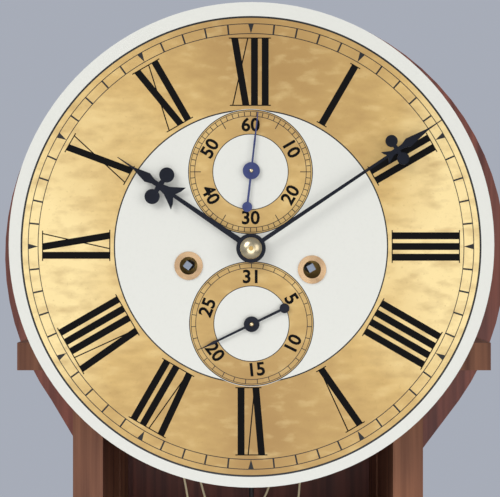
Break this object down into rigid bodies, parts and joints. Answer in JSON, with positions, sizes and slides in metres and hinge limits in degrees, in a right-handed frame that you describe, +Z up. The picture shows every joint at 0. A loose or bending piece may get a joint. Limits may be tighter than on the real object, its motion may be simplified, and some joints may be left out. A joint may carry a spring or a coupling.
{
  "type": "longcase clock",
  "caption": "Longcase clock standing with its hood off: painted round dial, hour strike, weights, pendulum and opening trunk door.",
  "frame": {"origin": "middle of the base on the floor, below the bounding box", "axes": "+Z up, the dial faces -Y and +X is to the viewer's right"},
  "size_m": [0.426, 0.25, 2.0019],
  "materials": {
    "mahogany": "waxed, worn",
    "oak": "raw, planed",
    "dial_white": "satin paint",
    "blued_steel": "blued and polished",
    "brass": "aged",
    "pale_brass": "polished",
    "steel": "filed",
    "iron": "dull",
    "bell_metal": "cast and turned",
    "gut": "natural gut"
  },
  "bodies": {
    "case": {"backboard": "mahogany", "lining_strips": "oak", "trunk_sides": "oak", "trunk_front": "mahogany", "hinge_leaves": "brass", "throat_moulding": "mahogany", "waist_moulding": "mahogany", "plinth": "mahogany", "skirting": "mahogany", "seatboard": "oak", "seat_bolts": "iron", "front_plate": "brass", "back_plate": "brass", "dial": "dial_white", "winding_grommets": "brass", "back_cock": "brass", "bell": "bell_metal", "bell_stand": "steel", "bridge": "brass", "going_line": "gut", "strike_line": "gut"},
    "door": {"trunk_door": "mahogany", "hinge_knuckles": "brass", "door_lock": "brass"},
    "cannon": {"cannon_wheel": "brass", "minute_hand": "blued_steel", "hand_collet": "pale_brass"},
    "centre": {"centre_wheel": "brass"},
    "third": {"third_wheel": "brass"},
    "escape": {"escape_wheel": "brass", "seconds_hand": "blued_steel"},
    "going_great": {"going_great_wheel": "brass"},
    "going_click_lever": {"going_click": "steel"},
    "going_drum": {"going_barrel": "brass"},
    "minute_reverse": {"minute_wheel": "brass"},
    "hour": {"hour_wheel": "brass", "hour_hand": "blued_steel"},
    "date": {"date_wheel": "brass", "date_hand": "blued_steel"},
    "strike_great": {"strike_great_wheel": "brass"},
    "strike_click_lever": {"strike_click": "steel"},
    "strike_drum": {"strike_barrel": "brass"},
    "pins": {"pin_wheel": "brass"},
    "gathering": {"gathering_wheel": "brass"},
    "warning": {"warning_wheel": "brass"},
    "fan": {"fly": "brass"},
    "hammer_lever": {"hammer": "steel"},
    "rack_lever": {"rack": "steel"},
    "hook_lever": {"rack_hook": "steel"},
    "lifting_lever": {"lifting_piece": "steel"},
    "pendulum": {"pendulum_rod": "steel", "pendulum_bob": "brass"},
    "nut": {"rating_nut": "brass"},
    "pallets": {"anchor": "steel"},
    "going_hanging": {"going_weight": "iron", "going_line_bight": "gut"},
    "strike_hanging": {"strike_weight": "iron", "strike_line_bight": "gut"},
    "going_sheave": {"going_pulley": "brass"},
    "strike_sheave": {"strike_pulley": "brass"}
  },
  "joints": [
    {"name": "door_hinge", "type": "hinge", "parent": "case", "child": "door", "pos_m": [0.0956, -0.0793, 0.9], "axis": [0, 0, 1], "range_deg": [0, 110]},
    {"name": "minute_turn", "type": "hinge", "parent": "case", "child": "cannon", "pos_m": [0.0022, 0, 1.795], "axis": [0, 1, 0], "continuous": true},
    {"name": "centre_turn", "type": "hinge", "parent": "case", "child": "centre", "pos_m": [0.0022, 0, 1.795], "axis": [0, 1, 0], "continuous": true},
    {"name": "third_turn", "type": "hinge", "parent": "case", "child": "third", "pos_m": [0.01115, 0, 1.82319], "axis": [0, 1, 0], "continuous": true},
    {"name": "escape_turn", "type": "hinge", "parent": "case", "child": "escape", "pos_m": [0.0024, 0, 1.8475], "axis": [0, 1, 0], "continuous": true},
    {"name": "going_great_turn", "type": "hinge", "parent": "case", "child": "going_great", "pos_m": [0.04325, 0, 1.7815], "axis": [0, 1, 0], "continuous": true},
    {"name": "minute_wheel_turn", "type": "hinge", "parent": "case", "child": "minute_reverse", "pos_m": [0.02702, 0, 1.81583], "axis": [0, 1, 0], "continuous": true},
    {"name": "hour_turn", "type": "hinge", "parent": "case", "child": "hour", "pos_m": [0.0022, 0, 1.795], "axis": [0, 1, 0], "continuous": true},
    {"name": "date_turn", "type": "hinge", "parent": "case", "child": "date", "pos_m": [0.0026, 0, 1.7435], "axis": [0, 1, 0], "continuous": true},
    {"name": "going_click_lift", "type": "hinge", "parent": "going_great", "child": "going_click_lever", "pos_m": [0.04325, 0, 1.8101], "axis": [0, 1, 0], "range_deg": [0, 12], "stiffness_Nm_per_rad": 0.02},
    {"name": "going_weight_rise", "type": "slide", "parent": "case", "child": "going_hanging", "axis": [0, 0, 1], "range_m": [0, 1.25], "deforming": ["going_line"]},
    {"name": "going_barrel_wind", "type": "hinge", "parent": "going_great", "child": "going_drum", "pos_m": [0.04325, 0, 1.7815], "axis": [0, 1, 0], "range_deg": [0, 5560]},
    {"name": "going_pulley_roll", "type": "hinge", "parent": "going_hanging", "child": "going_sheave", "pos_m": [0.03995, -0.0175, 0.3483], "axis": [0, 1, 0], "range_deg": [0, 3190]},
    {"name": "gathering_turn", "type": "hinge", "parent": "case", "child": "gathering", "pos_m": [-0.02152, 0, 1.8404], "axis": [0, 1, 0], "continuous": true},
    {"name": "pin_turn", "type": "hinge", "parent": "case", "child": "pins", "pos_m": [-0.0259, 0, 1.81559], "axis": [0, 1, 0], "continuous": true},
    {"name": "warning_turn", "type": "hinge", "parent": "case", "child": "warning", "pos_m": [-0.03962, 0, 1.85559], "axis": [0, 1, 0], "continuous": true},
    {"name": "fly_turn", "type": "hinge", "parent": "case", "child": "fan", "pos_m": [-0.02982, 0, 1.87256], "axis": [0, 1, 0], "continuous": true},
    {"name": "strike_great_turn", "type": "hinge", "parent": "case", "child": "strike_great", "pos_m": [-0.041, 0, 1.7832], "axis": [0, 1, 0], "continuous": true},
    {"name": "strike_click_lift", "type": "hinge", "parent": "strike_great", "child": "strike_click_lever", "pos_m": [-0.041, 0, 1.8118], "axis": [0, 1, 0], "range_deg": [0, 12], "stiffness_Nm_per_rad": 0.02},
    {"name": "strike_weight_rise", "type": "slide", "parent": "case", "child": "strike_hanging", "axis": [0, 0, 1], "range_m": [0, 1.25], "deforming": ["strike_line"]},
    {"name": "strike_barrel_wind", "type": "hinge", "parent": "strike_great", "child": "strike_drum", "pos_m": [-0.041, 0, 1.7832], "axis": [0, 1, 0], "range_deg": [0, 5560]},
    {"name": "strike_pulley_roll", "type": "hinge", "parent": "strike_hanging", "child": "strike_sheave", "pos_m": [-0.0443, -0.0175, 0.3483], "axis": [0, 1, 0], "range_deg": [0, 3190]},
    {"name": "hammer_lift", "type": "hinge", "parent": "case", "child": "hammer_lever", "pos_m": [-0.0558, 0, 1.829], "axis": [0, 1, 0], "range_deg": [-20, 0], "stiffness_Nm_per_rad": 0.1},
    {"name": "rack_fall", "type": "hinge", "parent": "case", "child": "rack_lever", "pos_m": [-0.0278, 0, 1.751], "axis": [0, 1, 0], "range_deg": [-16, 0]},
    {"name": "hook_lift", "type": "hinge", "parent": "case", "child": "hook_lever", "pos_m": [-0.0478, 0, 1.857], "axis": [0, 1, 0], "range_deg": [-8, 0]},
    {"name": "lifting_rise", "type": "hinge", "parent": "case", "child": "lifting_lever", "pos_m": [0.0522, 0, 1.839], "axis": [0, 1, 0], "range_deg": [0, 6]},
    {"name": "pendulum_swing", "type": "hinge", "parent": "case", "child": "pendulum", "pos_m": [0.0024, 0.0405, 1.884], "axis": [0, 1, 0], "range_deg": [-2.3, 2.3]},
    {"name": "anchor_rock", "type": "hinge", "parent": "case", "child": "pallets", "pos_m": [0.0024, 0, 1.8765], "axis": [0, 1, 0], "range_deg": [-2.6, 2.6]},
    {"name": "nut_turn", "type": "hinge", "parent": "pendulum", "child": "nut", "pos_m": [0.0024, 0.0405, 0.829], "axis": [0, 0, 1], "continuous": true}
  ],
  "couplings": [
    {"joint": "centre_turn", "follows": "minute_turn", "ratio": 1},
    {"joint": "third_turn", "follows": "minute_turn", "ratio": -7.5},
    {"joint": "escape_turn", "follows": "minute_turn", "ratio": 60},
    {"joint": "going_great_turn", "follows": "minute_turn", "ratio": -0.083333},
    {"joint": "minute_wheel_turn", "follows": "minute_turn", "ratio": -1},
    {"joint": "hour_turn", "follows": "minute_turn", "ratio": 0.083333},
    {"joint": "date_turn", "follows": "minute_turn", "ratio": 0.0013441},
    {"joint": "pin_turn", "follows": "gathering_turn", "ratio": -0.125},
    {"joint": "strike_great_turn", "follows": "gathering_turn", "ratio": 0.012821},
    {"joint": "warning_turn", "follows": "gathering_turn", "ratio": -8},
    {"joint": "fly_turn", "follows": "gathering_turn", "ratio": 56},
    {"joint": "going_barrel_wind", "follows": "going_weight_rise", "rad_per_m": 77.519},
    {"joint": "going_pulley_roll", "follows": "going_weight_rise", "rad_per_m": 44.444},
    {"joint": "strike_barrel_wind", "follows": "strike_weight_rise", "rad_per_m": 77.519},
    {"joint": "strike_pulley_roll", "follows": "strike_weight_rise", "rad_per_m": 44.444},
    {"joint": "anchor_rock", "follows": "pendulum_swing", "ratio": 1.067}
  ]
}
